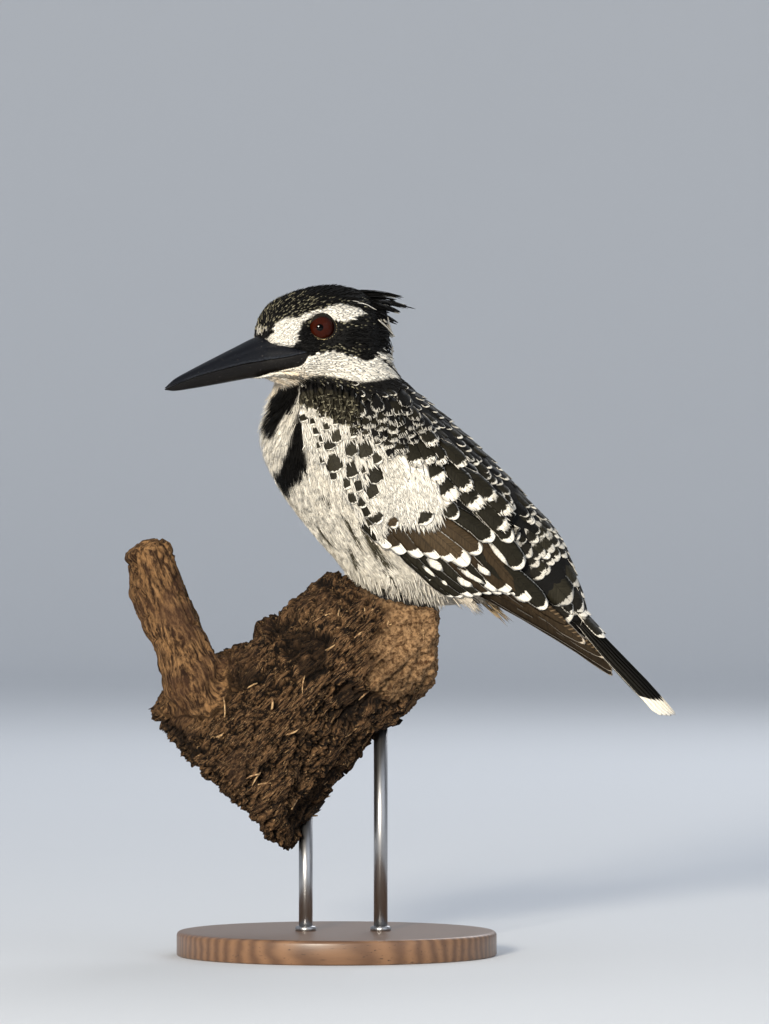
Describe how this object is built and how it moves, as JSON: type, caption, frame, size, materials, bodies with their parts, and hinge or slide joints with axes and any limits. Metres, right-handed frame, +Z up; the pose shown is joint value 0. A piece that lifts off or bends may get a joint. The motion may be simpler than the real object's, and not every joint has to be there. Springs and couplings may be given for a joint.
{
  "type": "pied kingfisher on a branch, display model",
  "caption": "Life-size still model of a male pied kingfisher gripping the broken end of a short dead branch, held over a round base by plain rods.",
  "frame": {"origin": "centre of the round base's flat underside", "axes": "+Z up, the bird's tail points to +X and its body's middle plane is XZ, with its left side towards -Y"},
  "size_m": [0.2086, 0.12, 0.2513],
  "materials": {
    "plumage": "black and white feathers, soft, with silky whites and slightly glossy blacks",
    "bill": "black horn, smooth and glossy along the ridge, duller at the root",
    "eye": "wet dark red-brown eye with a black pupil",
    "foot": "dark scaly skin",
    "claw": "black horn",
    "bark": "weathered, cracked dead wood and bark, fibrous and dry",
    "stand_wood": "dark stained wood under satin varnish",
    "stand_steel": "satin steel"
  },
  "bodies": {
    "root": {"head": "plumage", "crest": "plumage", "bill_upper": "bill", "bill_lower": "bill", "eye_left": "eye", "eye_right": "eye", "breast": "plumage", "mantle": "plumage", "back": "plumage", "belly": "plumage", "rump": "plumage", "neck": "plumage", "tail": "plumage", "wing_left_coverts": "plumage", "wing_left_secondaries": "plumage", "wing_left_primaries": "plumage", "leg_left": "foot", "foot_left": "foot", "claw_left_inner": "claw", "claw_left_middle": "claw", "claw_left_outer": "claw", "claw_left_hind": "claw", "wing_right_coverts": "plumage", "wing_right_secondaries": "plumage", "wing_right_primaries": "plumage", "leg_right": "foot", "foot_right": "foot", "claw_right_inner": "claw", "claw_right_middle": "claw", "claw_right_outer": "claw", "claw_right_hind": "claw", "perch_log": "bark", "perch_stub": "bark", "stand_base": "stand_wood", "stand_rod_front": "stand_steel", "stand_rod_rear": "stand_steel"}
  },
  "joints": []
}
